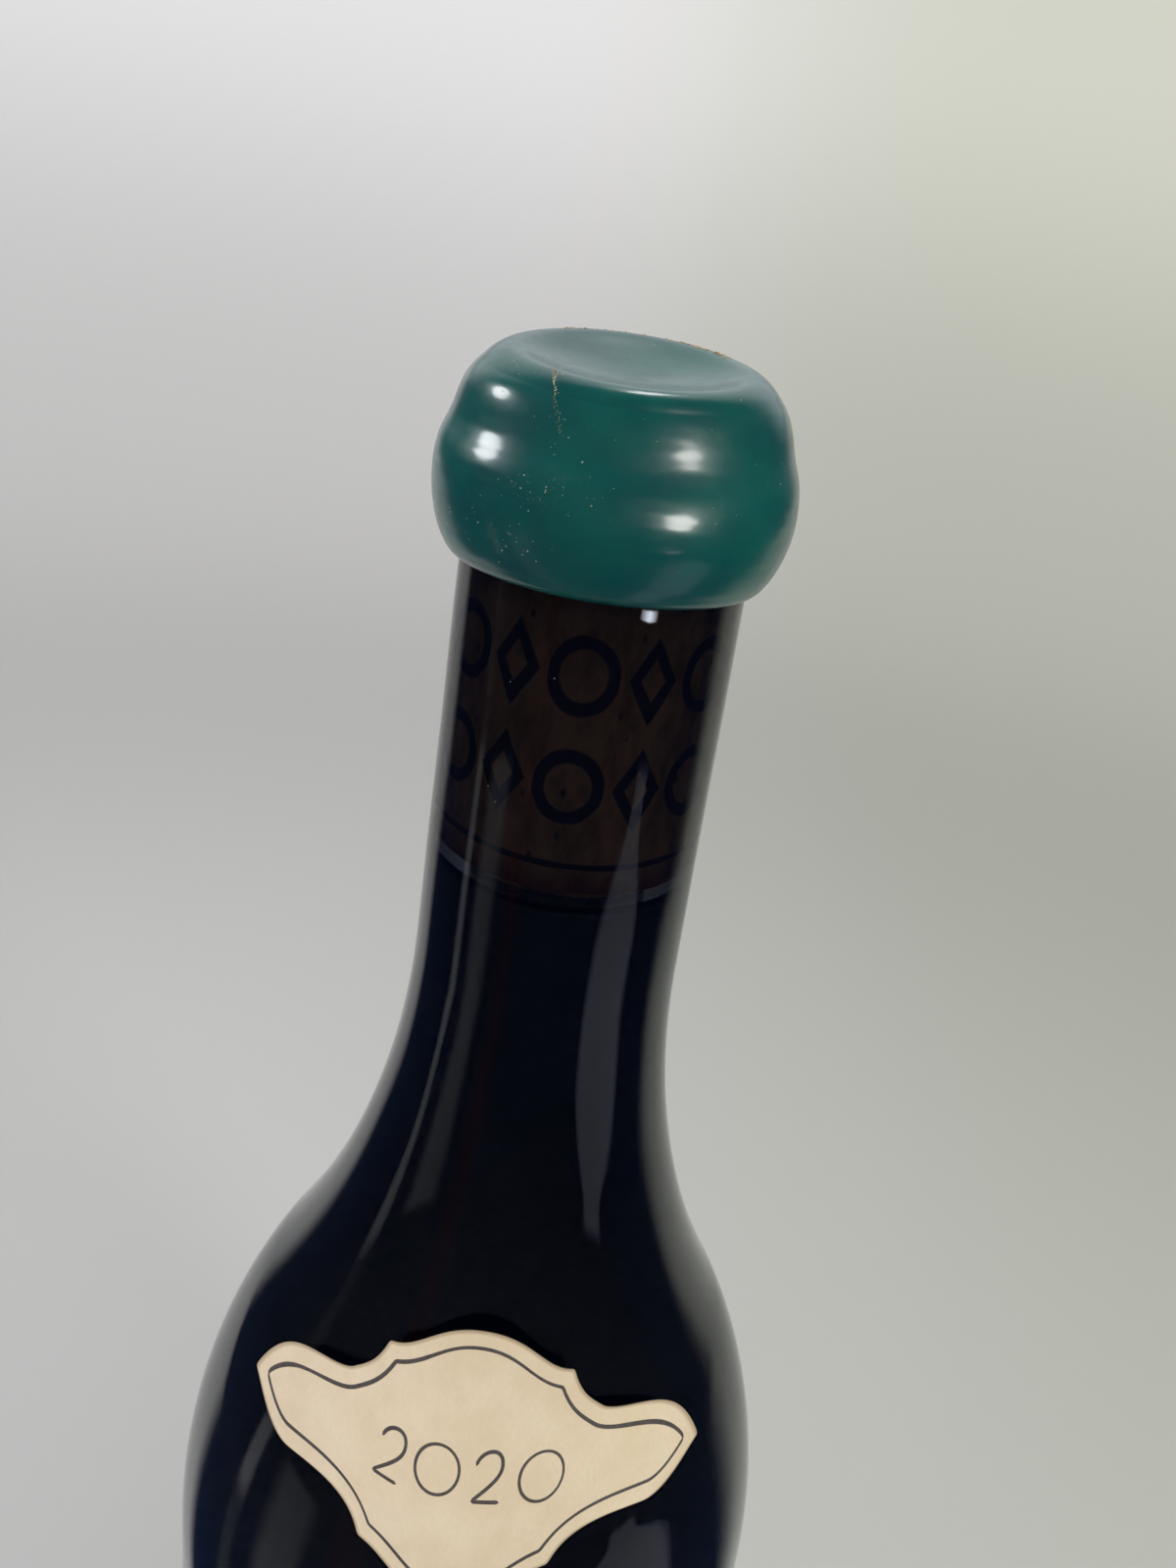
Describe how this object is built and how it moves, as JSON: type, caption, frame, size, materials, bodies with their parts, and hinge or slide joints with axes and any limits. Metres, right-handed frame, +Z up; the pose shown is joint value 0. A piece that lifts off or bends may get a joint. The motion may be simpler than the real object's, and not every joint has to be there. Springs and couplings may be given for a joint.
{
  "type": "wine bottle",
  "caption": "Corked wine bottle with sloping shoulders, a dipped wax seal over the mouth and a small cartouche label on the shoulder.",
  "frame": {"origin": "centre of the ring that the bottle stands on", "axes": "+Z up along the bottle's axis, -Y towards the label, +X to its right"},
  "size_m": [0.0802, 0.0802, 0.3022],
  "materials": {
    "glass": "smooth, near-black blue-green bottle glass",
    "cork": "natural cork, stained by the wine at its foot, with printed lines",
    "wax": "dipped sealing wax, soft gloss, with dust and a few crumbs",
    "paper": "cream laid paper with fine grey lines and plain digits",
    "wine": "deep red wine"
  },
  "bodies": {
    "root": {"bottle": "glass", "cork": "cork", "wax": "wax", "label": "paper", "wine": "wine"}
  },
  "joints": []
}
